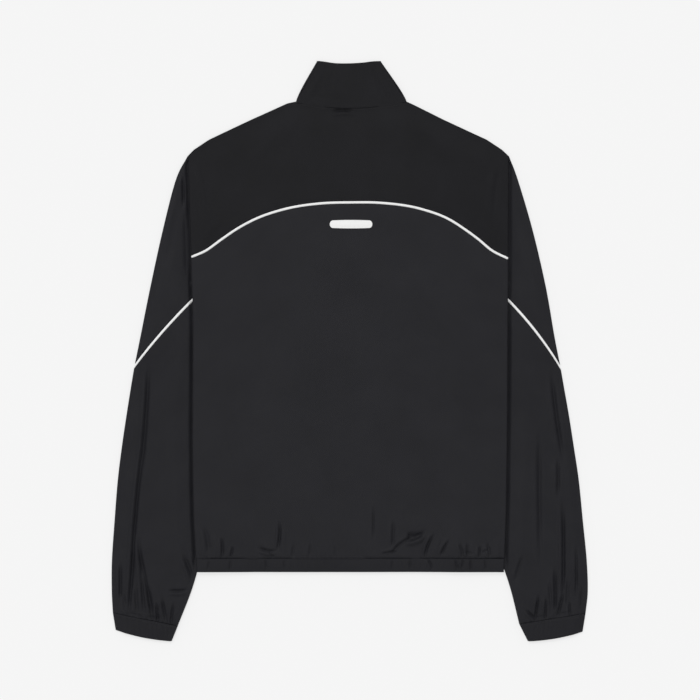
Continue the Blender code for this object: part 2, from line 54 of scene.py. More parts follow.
SHOULDER_LINE = (  # x, y
    (-226.2, 272.4), (-218, 281), (-197, 295), (-138, 323), (-87, 346),
    (-74, 348.6), (-40, 343), (0, 340.6), (40, 343), (78, 349),
    (88, 344.5), (131, 323.2), (191, 295.4), (212.5, 281.2), (221.9, 272.4))
YOKE_SEAM = (  # x, y
    (-220.4, 131.4), (-201, 140), (-180, 155), (-159, 169.4), (-135, 182.6),
    (-93, 197.4), (-41, 205.8), (1, 207.2), (43, 206.6), (102, 197.4),
    (139, 183.4), (161, 169.4), (180, 155.4), (197, 141.2), (220.6, 129))
HEM_SEAM_Y, HEM_EDGE_Y = -289.5, -308.5
FOLD_RADIUS = 2.0  # where a sleeve, the collar or the band lies folded
TUCK_HEIGHT = 4.3  # how far a tucked sleeve lifts the fronts
TUCK_TOP_Y, TUCK_FADES_Y = 106.0, 146.0  # the sleeves are tucked under below these lines
MIDDLE_LEVEL, OVER_SLEEVE = 5.9, 1.6
ARMHOLE_LEVEL, ARMHOLE_CROWN = 5.0, 0.9
SHOULDER_LEVEL, NECK_RISE = 3.2, 1.0
EDGE_ROLL = 1.6
DEEPEST_FOLD = 1.7  # the back's folds stop above the fronts
LOWEST_EDGE = 0.5
SEAM_DIP, SEAM_DIP_WIDTH = 0.7, 4.2  # the cloth sinks a little towards the yoke seam
BROAD_WAVE, BROAD_RISE = 120.0, 0.45
SMALL_WAVE, SMALL_RISE = 46.0, 0.12


def smooth(start, end, value):
    """0 before start, 1 past end and the cubic 3t^2 - 2t^3 between them."""
    share = np.clip((np.asarray(value, float) - start) / (end - start), 0.0, 1.0)
    return share * share * (3.0 - 2.0 * share)


def through(keys, values, at):
    """A piecewise cubic through the values, whose slope at each is the mean of its sides'."""
    keys, values = np.asarray(keys, float), np.asarray(values, float)
    slopes = np.gradient(values, keys)
    at = np.clip(np.asarray(at, float), keys[0], keys[-1])
    low = np.clip(np.searchsorted(keys, at) - 1, 0, len(keys) - 2)
    step = keys[low + 1] - keys[low]
    part = (at - keys[low]) / step
    return (values[low] * (1 + 2 * part) * (1 - part) ** 2
            + values[low + 1] * part ** 2 * (3 - 2 * part)
            + step * slopes[low] * part * (1 - part) ** 2
            - step * slopes[low + 1] * part ** 2 * (1 - part))


def side_x(side, y):
    """The body's side line at y; side -1 is the wearer's left."""
    rows = np.array(SIDE_LINE)[::-1]
    return through(rows[:, 0], rows[:, 1 if side < 0 else 2], y)


def shoulder_y(x):
    """The line of the shoulders and the back neck, straight between its points."""
    rows = np.array(SHOULDER_LINE)
    return np.interp(x, rows[:, 0], rows[:, 1])


def yoke_seam_y(x, offset=0.0):
    """The yoke seam, moved square to itself by the offset."""
    rows = np.array(YOKE_SEAM)
    slope = (through(*rows.T, x + 1.0) - through(*rows.T, x - 1.0)) / 2.0
    return through(*rows.T, x) + offset * np.sqrt(1.0 + slope * slope)


def over_tuck(y):
    """1 along the sides where a sleeve is tucked under the body, 0 beside the armholes."""
    return 1.0 - smooth(TUCK_TOP_Y, TUCK_FADES_Y, y)


def back_level(x, y):
    """Top of the back: a low crown that falls to the armholes, the shoulders and the neck."""
    to_side = np.where(x < 0, x - side_x(-1, y), side_x(1, y) - x)
    tucked = MIDDLE_LEVEL + OVER_SLEEVE * smooth(125.0, 158.0, np.abs(x))
    beside = ARMHOLE_LEVEL + ARMHOLE_CROWN * smooth(0.0, 38.0, to_side)
    level = over_tuck(y) * tucked + (1.0 - over_tuck(y)) * beside
    edge = SHOULDER_LEVEL + NECK_RISE * (1.0 - smooth(58.0, 84.0, np.abs(x)))
    return edge + (level - edge) * smooth(0.0, 32.0, 0.9 * (shoulder_y(x) - y))


def rolled(count, first, last, grade=1.0):
    """Lines of a sheet that rolls over at its edges, as (share, shift, drop) arrays.

    A line's place is the share of the flat part plus the shift in millimetres, and it lies lower
    by the drop. An edge with a radius turns down a quarter circle and 25 degrees under.
    """
    turn = np.radians(np.linspace(-25.0, 75.0, 6))
    share = [np.linspace(0.0, 1.0, count) ** grade]
    shift, drop = [np.zeros(count)], [np.zeros(count)]
    if first:
        share.insert(0, np.zeros(6))
        shift.insert(0, -first * np.cos(turn))
        drop.insert(0, first * (1.0 - np.sin(turn)))
    if last:
        share.append(np.ones(6))
        shift.append(last * np.cos(turn[::-1]))
        drop.append(last * (1.0 - np.sin(turn[::-1])))
    return np.concatenate(share), np.concatenate(shift), np.concatenate(drop)


def creases(x, y, table):
    """Height of pressed-in folds. Each row of the table is a line with a bow, a width, a height
    and a lip: along its length it swells as a smooth bump, and across it is a Gaussian ridge
    (a trough where the height is negative) with a counter-ridge of the lip's share beside it,
    on the line's right as it runs, or on its left where the lip is negative.
    """
    total = np.zeros_like(x)
    for x0, y0, x1, y1, bow, width, height, lip in table:
        length = math.hypot(x1 - x0, y1 - y0)
        along_x, along_y = (x1 - x0) / length, (y1 - y0) / length
        share = ((x - x0) * along_x + (y - y0) * along_y) / length
        aside = (y - y0) * along_x - (x - x0) * along_y
        aside = (aside - bow * 4.0 * share * (1.0 - share)) / width
        swell = smooth(-0.12, 0.3, share) * (1.0 - smooth(0.65, 1.12, share))
        counter = abs(lip) * np.exp(-((aside + 2.1 * np.sign(lip)) / 1.5) ** 2)
        total += height * swell * (np.exp(-aside ** 2) - counter)
    return total


def crumple(x, y, seed, size, height):
    """A soft random unevenness: a sum of nine sine waves of about the given wavelength."""
    random = np.random.RandomState(seed)
    total = np.zeros_like(x)
    for _ in range(9):
        turn, phase = random.uniform(0.0, 2.0 * math.pi, 2)
        wave = 2.0 * math.pi / (size * random.uniform(0.7, 1.5))
        total += np.sin((x * math.cos(turn) + y * math.sin(turn)) * wave + phase)
    return total * height / 3.0


def ruche(place, seed, spacing=8.0):
    """Uneven gathers along a seam, from -1 to 1: sine waves whose phase wanders."""
    random = np.random.RandomState(seed)
    wander = sum(a * np.sin(place / s + random.uniform(0.0, 6.3))
                 for a, s in ((1.9, 23.0), (2.6, 41.0), (1.1, 11.0)))
    wave = np.sin(2.0 * math.pi * place / spacing + wander)
    swell = 0.55 + 0.45 * np.sin(place / 31.0 + random.uniform(0.0, 6.3))
    finer = np.sin(2.3 * 2.0 * math.pi * place / spacing + 1.7 * wander)
    return (wave + 0.35 * finer) * swell / 1.2


def linear(code):
    """An sRGB hex colour as linear red, green, blue and alpha."""
    parts = [int(code[i:i + 2], 16) / 255.0 for i in (1, 3, 5)]
    return (*[c / 12.92 if c <= 0.04045 else ((c + 0.055) / 1.055) ** 2.4 for c in parts], 1.0)


def add(tree, kind, inputs=(), **settings):
    """Adds a node, sets its properties, and links or sets its inputs by name or number."""
    node = tree.nodes.new("ShaderNode" + kind)
    for name, value in settings.items():
        setattr(node, name, value)
    for key, value in dict(inputs).items():
        if isinstance(value, bpy.types.NodeSocket):
            tree.links.new(value, node.inputs[key])
        else:
            node.inputs[key].default_value = value
    return node


def surface(name, **values):
    """A material with a Principled shader, whose sockets are set by their names."""
    material = bpy.data.materials.new(name)
    material.use_nodes = True
    shader = material.node_tree.nodes["Principled BSDF"]
    for key, value in values.items():
        shader.inputs[key.replace("_", " ")].default_value = value
    return material, material.node_tree, shader


def woven(name, colour, light, thread=0.7, roughness=0.52, depth=0.5, crinkle=0.10):
    """Woven polyester: warp and weft threads, faint dye clouds and a fine crinkle.

    The threads are sine waves over the cloth's own UV map, which is in metres. Real ones are
    about 0.3 mm apart, which is too fine to show, so the spacing is drawn at 0.7 mm.
    """
    material, tree, shader = surface(
        name, Roughness=roughness, Specular_IOR_Level=0.16, Sheen_Weight=0.05,
        Sheen_Roughness=0.42, Sheen_Tint=linear("#c9ccd6"))
    cloth = add(tree, "TexCoord").outputs["UV"]
    place = add(tree, "SeparateXYZ", {0: cloth})
    waves = []
    for axis in ("X", "Y"):
        turns = add(tree, "Math", {0: place.outputs[axis], 1: 2.0 * math.pi / (thread * MM)},
                    operation="MULTIPLY")
        waves.append(add(tree, "Math", {0: turns.outputs[0]}, operation="SINE").outputs[0])
    weave = add(tree, "Math", {0: waves[0], 1: waves[1]}, operation="MULTIPLY")
    clouds = add(tree, "TexNoise", {"Vector": cloth, "Scale": 14.0, "Detail": 3.0,
                                    "Roughness": 0.55})
    fine = add(tree, "TexNoise", {"Vector": cloth, "Scale": 170.0, "Detail": 4.0,
                                  "Roughness": 0.6})
    shade = add(tree, "ValToRGB", {"Fac": clouds.outputs["Fac"]})
    shade.color_ramp.elements[0].position = 0.3
    shade.color_ramp.elements[0].color = linear(colour)
    shade.color_ramp.elements[1].position = 0.7
    shade.color_ramp.elements[1].color = linear(light)
    tree.links.new(shade.outputs["Color"], shader.inputs["Base Color"])
    threads = add(tree, "Bump", {"Height": weave.outputs[0], "Strength": depth,
                                 "Distance": 0.12 * MM})
    crinkled = add(tree, "Bump", {"Height": fine.outputs["Fac"], "Strength": crinkle,
                                  "Distance": 0.9 * MM, "Normal": threads.outputs["Normal"]})
    tree.links.new(crinkled.outputs["Normal"], shader.inputs["Normal"])
    return material


def place_piece(piece, body="garment", node=None):
    """Joins a piece to its body, and hides the CAD node it stands for."""
    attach(piece, body)
    if node:
        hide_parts(node)
    return piece


def finished(name, mesh, material):
    """The mesh shaded smooth, with its material, as an object in the scene."""
    mesh.polygons.foreach_set("use_smooth", np.ones(len(mesh.polygons), bool))
    mesh.materials.append(material)
    piece = bpy.data.objects.new(name, mesh)
    bpy.context.scene.collection.objects.link(piece)
    return piece


def cloth_piece(name, points, material, wall=0.5, closed=False, flip=False):
    """A grid of points as a thin shell of cloth, with a UV map in metres of its middle lines.

    The points are rows by columns; a closed piece joins its last column to its first. The wall
    grows inwards from the points, in millimetres.
    """
    rows, columns = points.shape[:2]
    wide = columns + 1 if closed else columns
    i, j = np.meshgrid(np.arange(rows - 1), np.arange(wide - 1), indexing="ij")
    corners = [(i, j), (i, j + 1), (i + 1, j + 1), (i + 1, j)]
    corners = corners[::-1] if flip else corners
    faces = np.stack([a * columns + b % columns for a, b in corners], axis=-1).reshape(-1, 4)
    mesh = bpy.data.meshes.new(name)
    mesh.from_pydata((points.reshape(-1, 3) * MM).tolist(), [], faces.tolist())
    middle_row = np.concatenate([points[rows // 2], points[rows // 2, :1]]) if closed \
        else points[rows // 2]
    middle_column = points[:, columns // 2]
    across = np.concatenate([[0], np.cumsum(np.linalg.norm(np.diff(middle_row, axis=0), axis=1))])
    down = np.concatenate([[0], np.cumsum(np.linalg.norm(np.diff(middle_column, axis=0), axis=1))])
    u = np.stack([across[b] for _, b in corners], axis=-1).reshape(-1)
    v = np.stack([down[a] for a, _ in corners], axis=-1).reshape(-1)
    layer = mesh.uv_layers.new(name="UVMap")
    layer.data.foreach_set("uv", (np.stack([u, v], axis=-1) * MM).ravel())
    piece = finished(name, mesh, material)
    shell = piece.modifiers.new("Cloth", "SOLIDIFY")
    shell.thickness = wall * MM
    shell.offset = -1.0
    return piece


HEM_CREASES = (  # x0, y0, x1, y1, bow, width, height, lip
    (-203, -246, -197, -282, 1.5, 2.5, -2, 0.5),
    (-187, -255, -186, -288, -1, 3.4, 0.8, 0.4),
    (-179, -261, -178, -288, 1, 1.5, -3.1, 0.5),
    (-171, -266, -173, -288, 0, 2.6, 0.7, 0),
    (-163, -273, -166, -288, 0, 1.4, -2.6, 0.6),
    (-122, -266, -114, -287, 2, 3, 0.8, 0.3),
    (-98, -240, -101, -277, 1.5, 1.6, -3.1, 0.6),
    (-92, -250, -92, -286, -1, 3.4, 0.7, 0),
    (-127, -275, -103, -279, -2, 1.6, -3.5, 0.6),
    (-112, -281, -106, -288, 0, 1.4, -2.4, 0.3),
    (-78, -270, -80, -288, 0, 1.6, -1.4, 0.4),
    (-55, -270, -56, -288, 0, 1.6, -1.4, 0.4),
    (-20, -274, -21, -288, 0, 1.5, -0.7, 0.3),
    (33, -218, 33, -262, 0, 1.3, -2, 0.3),
    (61, -238, 60, -274, 0, 1.9, -2, 0.6),
    (70, -212, 76, -255, -1, 6, 0.7, 0.5),
    (76, -264, 104, -253, -2.5, 2.2, -4.2, 0.7),
    (84, -262, 58, -283, -3, 1.7, -3.1, 0.6),
    (66, -279, 45, -283, 0, 1.4, -2.6, 0.5),
    (117, -257, 105, -287, -2.5, 1.6, -3.5, 0.7),
    (125, -262, 118, -287, -1, 3.4, 0.9, 0),
    (138, -265, 127, -286, -1.5, 1.4, -3.1, 0.6),
    (152, -268, 157, -288, 1, 1.4, -2.4, 0.5),
    (163, -270, 164, -288, 0, 1.3, -2.8, 0.4),
    (171, -266, 174, -288, 0, 2.4, 0.9, 0.4),
    (181, -272, 180, -288, 0, 1.3, -2.8, 0.4),
    (191, -268, 195, -288, 1, 1.5, -2.4, 0.5),
    (204, -262, 206, -288, 1, 3, 0.7, 0.4),
    (80, -258, 102, -255, -1, 3.2, -2.6, 0.3),
    (83, -254, 86, -266, 0, 2.6, -2.2, 0.3),
    (196, -276, 184, -281, 0, 1.4, -1.4, 0.5),
    (158, -281, 172, -283, 0.5, 1.4, -1.6, 0.5),
)


def hem_gathers(x, y, seed):
    """Gathers that rise from the hem seam and die out 12 to 40 mm above it."""
    above = np.maximum(y - HEM_SEAM_Y, 0.0)
    reach = 11.0 + 9.0 * (0.5 + 0.5 * np.sin(x / 26.0 + seed))
    return ruche(x + 0.12 * above, seed, 7.5) * np.exp(-above / reach)


def seam_shows(x):
    """How open the hem seam lies: 1 where it gapes, 0.3 where the cloth closes over it."""
    runs = ((-194.0, -148.0), (-122.0, -83.0), (22.0, 85.0), (99.0, 212.0))
    return 0.3 + 0.7 * sum(smooth(a - 6.0, a + 4.0, x) * (1.0 - smooth(b - 4.0, b + 6.0, x))
                           for a, b in runs)


def back_shape(x, y):
    """Top of the lower back with its folds, gathers and soft unevenness."""
    level = back_level(x, y) + crumple(x, y, 3, BROAD_WAVE, BROAD_RISE)
    level = level + crumple(x, y, 5, SMALL_WAVE, SMALL_RISE)
    level = level + creases(x, y, HEM_CREASES) + 0.38 * hem_gathers(x, y, 2)
    level = level - 1.7 * seam_shows(x) * np.exp(-((y - HEM_SEAM_Y + 1.6) / 2.2) ** 2)
    level = level - SEAM_DIP * np.exp(-((y - yoke_seam_y(x)) / SEAM_DIP_WIDTH) ** 2)
    return np.maximum(level, DEEPEST_FOLD)


def panel(columns, rows, low_y, high_y, shape):
    """Points of a panel of the back between two lines across it, with rolled edges."""
    share, shift, drop = (row[None, :] for row in columns)
    up, up_shift, up_drop = (row[:, None] for row in rows)
    y = low_y(0.0) + (high_y(0.0) - low_y(0.0)) * up
    for _ in range(3):
        left, right = side_x(-1, y) + EDGE_ROLL, side_x(1, y) - EDGE_ROLL
        x = left + (right - left) * share + shift
        y = low_y(x) + (high_y(x) - low_y(x)) * up + up_shift
    return np.stack([x, y, np.maximum(shape(x, y) - drop - up_drop, LOWEST_EDGE)], axis=-1)


# Plain weave, piece-dyed black: an even, soft black with next to no gloss.
black_woven = woven("black plain-woven polyester", "#1a1a1e", "#1e1e22")
half_piping, piping_gap = 1.75, 0.2
under_band = 1.6
points = panel(rolled(326, EDGE_ROLL, EDGE_ROLL), rolled(124, 0, 1.0, 1.5),
               lambda x: HEM_SEAM_Y - under_band + 0.0 * x,
               lambda x: yoke_seam_y(x, -half_piping - piping_gap), back_shape)
back_body = cloth_piece("cloth_back_body", points, black_woven)
place_piece(back_body, node="back_body")

# ==== Yoke ===================================================================================
# The shoulder panel of the back, of the same cloth. It is sewn to the lower back with piping in
# the seam, to the sleeves at the armholes, to the fronts at the shoulders and to the collar.
YOKE_CREASES = (  # x0, y0, x1, y1, bow, width, height, lip
    (-24, 334.5, 6, 335, 1.5, 2, -3.1, 0.4),
    (-60, 338, -110, 268, 8, 9, -0.5, 0.6),
    (-90, 322, -170, 240, 6, 8, 0.45, 0.6),
    (64, 336, 118, 262, -8, 9, -0.5, 0.6),
    (100, 318, 178, 236, -6, 8, 0.45, 0.6),
    (-214, 262, -204, 190, 3, 3.1, -0.8, 0.7),
    (210, 258, 202, 188, -3, 3.1, -0.8, 0.7),
    (-205, 150, -180, 186, 2, 5, 0.5, 0.5),
    (204, 148, 182, 182, -2, 5, 0.5, 0.5),
)


def yoke_shape(x, y):
    """Top of the yoke: the back's crown with shoulder folds and a dip at the piping."""
    level = back_level(x, y) + crumple(x, y, 3, BROAD_WAVE, BROAD_RISE)
    level = level + crumple(x, y, 7, SMALL_WAVE, SMALL_RISE)
    level = level + creases(x, y, YOKE_CREASES)
    return level - SEAM_DIP * np.exp(-((y - yoke_seam_y(x)) / SEAM_DIP_WIDTH) ** 2)


shoulder_roll = 1.2
points = panel(rolled(200, EDGE_ROLL, EDGE_ROLL), rolled(80, 0.8, shoulder_roll),
               lambda x: yoke_seam_y(x, half_piping + piping_gap),
               lambda x: shoulder_y(x) - shoulder_roll, yoke_shape)
# The same weave with its threads turned the other way, a slightly deeper black than the back:
# painted shade for the duller sheen of the turned threads, used here and on the collar.
yoke_black_painted_shade = woven("crosswise-cut black polyester with painted shade", "#0f0f12", "#131317")
back_yoke = cloth_piece("cloth_back_yoke", points, yoke_black_painted_shade)
place_piece(back_yoke, node="back_yoke")

# ==== Yoke piping ============================================================================
# A white satin-covered cord, sewn into the yoke seam so that only its round edge shows. Its ends
# turn down into the armhole seams.
PIPING_HALF_WIDTH, PIPING_HALF_HEIGHT, PIPING_WALL = 1.7, 1.2, 0.4
PIPING_POINTS = 320


def satin_cord():
    """White polyester satin, woven: a clean white with a soft gloss and a faint diagonal twill.

    The twill's lines are drawn 0.9 mm apart, coarser than real ones, so that they show.
    """
    material, tree, shader = surface("white satin piping", Roughness=0.42,
                                     Specular_IOR_Level=0.35, Sheen_Weight=0.15)
    spacing = 0.9 * MM
    cloth = add(tree, "TexCoord").outputs["UV"]
    turned = add(tree, "Mapping", {"Vector": cloth, "Rotation": (0.0, 0.0, math.radians(38.0))})
    place = add(tree, "SeparateXYZ", {0: turned.outputs[0]})
    turns = add(tree, "Math", {0: place.outputs["X"], 1: 2.0 * math.pi / spacing},
                operation="MULTIPLY")
    twill = add(tree, "Math", {0: turns.outputs[0]}, operation="SINE")
    soil = add(tree, "TexNoise", {"Vector": cloth, "Scale": 60.0, "Detail": 3.0})
    tone = add(tree, "ValToRGB", {"Fac": soil.outputs["Fac"]})
    tone.color_ramp.elements[0].color = linear("#e9e9ea")
    tone.color_ramp.elements[1].color = linear("#f8f8f7")
    tree.links.new(tone.outputs["Color"], shader.inputs["Base Color"])
    raised = add(tree, "Bump", {"Height": twill.outputs[0], "Strength": 0.5,
                                "Distance": 0.1 * MM})
    tree.links.new(raised.outputs["Normal"], shader.inputs["Normal"])
    return material


def cord_rings(path, up, half_width, half_height, sides=16):
    """Closed oval rings across a path: each point is the path plus the oval's two axes."""
    along = np.gradient(path, axis=0)
    along /= np.linalg.norm(along, axis=1)[:, None]
    square = np.cross(np.broadcast_to(up, path.shape), along)
    square /= np.linalg.norm(square, axis=1)[:, None]
    lift = np.cross(along, square)
    turn = np.linspace(0.0, 2.0 * math.pi, sides, endpoint=False)
    return (path[:, None] + half_width * np.cos(turn)[None, :, None] * square[:, None]
            + half_height * np.sin(turn)[None, :, None] * lift[:, None])


white_satin = satin_cord()
x = np.linspace(side_x(-1, 131.0) + 0.6, side_x(1, 129.0) - 0.6, PIPING_POINTS)
y = yoke_seam_y(x)
level = back_level(x, y) + crumple(x, y, 3, BROAD_WAVE, BROAD_RISE) - 0.35
from_end = np.minimum(np.arange(PIPING_POINTS), np.arange(PIPING_POINTS)[::-1])
path = np.stack([x, y, level - 1.4 * np.exp(-(from_end / 1.8) ** 2)], axis=-1)
rings = cord_rings(path, (0.0, 0.0, 1.0), PIPING_HALF_WIDTH, PIPING_HALF_HEIGHT)
piping = cloth_piece("piping_yoke", rings, white_satin, wall=PIPING_WALL, closed=True)
place_piece(piping, node="yoke_piping")

# ==== Fronts =================================================================================
# The two front halves lie on the ground under the back. They are the same cloth, meet at the zip
# and rise at their outer edges over the tucked sleeves to the side seams.
COLLAR_FRONT = {  # from the folded edge to the zip: seam x, y and top x, y
    -1: ((-74.5, 349, -45.5, 405.2), (-73, 332, -38, 391), (-66, 312, -29, 373),
         (-55, 294, -21, 353), (-38, 277, -12, 334), (-6, 262, -6, 318)),
    1: ((78.5, 349.6, 43, 405), (75, 332, 37, 391), (67, 312, 29, 373),
        (55, 294, 21, 353), (38, 277, 12, 334), (6, 262, 6, 318))}
FRONT_CREASES = (  # x0, y0, x1, y1, bow, width, height, lip; x is counted from the zip
    (40, -284, 46, -238, 2, 5, 0.9, 0),
    (78, -286, 74, -250, -2, 4, 0.8, 0),
    (112, -284, 118, -232, 2, 5, 1, 0),
    (20, 232, 120, 150, 10, 9, 0.8, 0),
    (30, 120, 128, 40, -12, 10, 0.7, 0),
    (120, 300, 190, 210, 8, 8, 0.8, 0),
)


BESIDE_ZIP_X = 7.2


def front_level(x, y):
    """Underside of the fronts: on the ground, and over the tucked sleeves at the sides."""
    return TUCK_HEIGHT * over_tuck(y) * smooth(140.0, 154.0, np.abs(x))


def front_points(side, seed):
    """A front as a grid: columns from the zip to the side line, rows from the hem to the neck."""
    seam = np.array(COLLAR_FRONT[side])[::-1, :2]
    reach = np.abs(seam[:, 0])
    across, shift, rise = (row[None, :] for row in rolled(90, 0.9, 1.2))  # turned up at its edges
    up = np.linspace(0.0, 1.0, 116)[:, None]
    y = HEM_SEAM_Y + 0.3 + (300.0 - HEM_SEAM_Y) * up + 0.0 * across
    for _ in range(3):
        edge = np.abs(side_x(side, y)) - 1.4
        x = BESIDE_ZIP_X + (edge - BESIDE_ZIP_X) * across + shift
        neck = np.interp(x, reach + 0.6, seam[:, 1])
        top = np.where(x < reach.max(), neck, shoulder_y(side * x) - 1.0)
        y = HEM_SEAM_Y + 0.3 + (top - HEM_SEAM_Y - 0.3) * up
    uneven = np.abs(crumple(x, y, seed, 90.0, 0.4))
    level = front_level(x, y) + creases(x, y, FRONT_CREASES) + uneven
    level = level * smooth(-3.0, 14.0, x - 6.0) + 0.35 * (1.0 + ruche(x, seed)) * np.exp(
        -(y - HEM_SEAM_Y) / 12.0) + rise
    clear = back_level(side * x, y) - 2.2
    return np.stack([side * x, y, np.minimum(level, np.maximum(clear, 0.0))], axis=-1)


for side, word, seed in ((-1, "left", 21), (1, "right", 22)):
    points = front_points(side, seed)
    front = cloth_piece("cloth_front_" + word, points, black_woven, flip=side > 0)
    place_piece(front, node="front_" + word)

# ==== Collar =================================================================================
# A stand collar of two layers of the same cloth, sewn round the neck. It lies folded flat at its
# sides; its front ends run down beneath the yoke to the top of the zip.
COLLAR_BACK = (  # seam x, y and top x, y
    (-56, 346.2, -36, 404.2), (-28, 342.4, -20, 402), (0, 341.2, 0, 401.8),
    (30, 342.6, 18, 402.8), (58, 346.4, 33, 404.6))
COLLAR_CREASES = (  # x0, y0, x1, y1, bow, width, height, lip
    (-62, 352, -40, 396, -3, 5, 0.5, 0.6),
    (-30, 350, -22, 398, 2, 3.7, -0.5, 0.6),
    (10, 346, 4, 396, -2, 7, 0.35, 0.6),
    (52, 352, 34, 398, 3, 3.1, -0.7, 0.6),
    (-48, 362, 12, 355, 3, 7, 0.35, 0.5),
)
COLLAR_OVERLAP = 2.8  # how far it laps over the yoke at the neck seam
FRONT_STATIONS, BACK_STATIONS = 46, 90


def collar_points():
    """The collar as stations round the neck by lines from the seam to the top edge.

    At each folded edge the strip turns a half circle from the lower to the upper layer.
    """
    stations, heights = [], []
    for side in (-1, 1):
        rows = np.array(COLLAR_FRONT[side])
        keys = np.linspace(0.0, 1.0, len(rows))
        at = np.linspace(1.0, 0.02, FRONT_STATIONS)
        front = np.stack([through(keys, rows[:, k], at) for k in range(4)], axis=1)
        along = rows[0, 2:] - rows[0, :2]
        along /= np.linalg.norm(along)
        out = np.array([along[1], -along[0]]) * side
        drawn_in = FOLD_RADIUS * smooth(0.5, 0.0, at)
        front -= drawn_in[:, None] * np.concatenate([out, out])[None, :]
        turn = np.linspace(0.0, math.pi, 12)
        inset = FOLD_RADIUS * (np.sin(turn) - 1.0)
        fold = rows[0][None, :] + inset[:, None] * np.concatenate([out, out])[None, :]
        part = np.concatenate([front, fold])
        rise = np.concatenate([np.zeros(FRONT_STATIONS), FOLD_RADIUS * (1.0 - np.cos(turn))])
        stations.append(part if side < 0 else part[::-1])
        heights.append(rise if side < 0 else rise[::-1])
    ends = np.array([COLLAR_FRONT[-1][0], *COLLAR_BACK, COLLAR_FRONT[1][0]])
    keys = np.concatenate([[0.0], np.cumsum(np.abs(np.diff(ends[:, 0])))])
    at = np.linspace(keys[-1] * 0.015, keys[-1] * 0.985, BACK_STATIONS)
    back = np.stack([through(keys, ends[:, k], at) for k in range(4)], axis=1)
    stations.insert(1, back)
    heights.insert(1, np.full(BACK_STATIONS, 2.0 * FOLD_RADIUS))
    stations, heights = np.concatenate(stations), np.concatenate(heights)
    top_roll = 1.1
    share, shift, drop = rolled(40, 0, top_roll)
    seam, top = stations[:, None, :2], stations[:, None, 2:]
    length = np.linalg.norm(top - seam, axis=2, keepdims=True)
    upper = (heights / (2.0 * FOLD_RADIUS))[:, None]
    run = share[None, :, None] * (1.0 - top_roll / length) + shift[None, :, None] / length
    flat = seam + (top - seam) * (run - COLLAR_OVERLAP * upper[..., None] * (1.0 - run) / length)
    flat[..., 0] *= 1.0 + 0.03 * np.sin(math.pi * np.clip(share, 0.0, 1.0) ** 0.7)[None, :]
    x, y = flat[..., 0], flat[..., 1]
    crown = 0.9 * np.sin(math.pi * np.clip(share, 0.0, 1.0))[None, :]
    at_seam = 0.3 * (1.0 - smooth(0.0, 0.25, share))[None, :]
    folds = creases(x, y, COLLAR_CREASES) + crumple(x, y, 9, 60.0, 0.25)
    level = heights[:, None] + smooth(0.9, 1.0, upper) * (crown + at_seam + folds)
    level = level + (1.0 - 2.0 * upper) * drop[None, :]
    return np.concatenate([flat, level[..., None]], axis=2)


points = collar_points()
# The collar takes the yoke's cloth, with its painted shade.
collar = cloth_piece("cloth_collar", points, yoke_black_painted_shade, wall=0.9, flip=True)
place_piece(collar, node="collar")

# ==== Hem band ===============================================================================
# A casing of the same cloth round wide elastic, sewn to the hem all round and open at the zip. The
# elastic draws it in, so it ruches and the body blouses a little above it.
BAND_CREASES = (  # x0, y0, x1, y1, bow, width, height, lip
    (-196, -292, -198, -306, 0, 1.3, -1.1, 0.5),
    (-166, -291, -167, -305, 0, 1.4, -1.5, 0.5),
    (-118, -291, -116, -304, 0, 1.3, -1.4, 0.5),
    (-92, -291, -91, -303, 0, 1.3, -1.1, 0.4),
    (-34, -291, -34, -300, 0, 1.3, -0.6, 0.4),
    (60, -291, 59, -303, 0, 1.3, -1.1, 0.5),
    (84, -291, 85, -304, 0, 1.3, -1.4, 0.5),
    (109, -291, 115, -305, 1, 1.3, -2.2, 0.6),
    (147, -291, 150, -305, 0, 1.3, -2, 0.6),
    (158, -291, 156, -303, 0, 1.3, -1.8, 0.6),
    (168, -291, 169, -306, 0, 1.3, -2, 0.6),
    (188, -291, 190, -304, 0, 1.3, -1.5, 0.5),
)
LOWER_STATIONS = 90

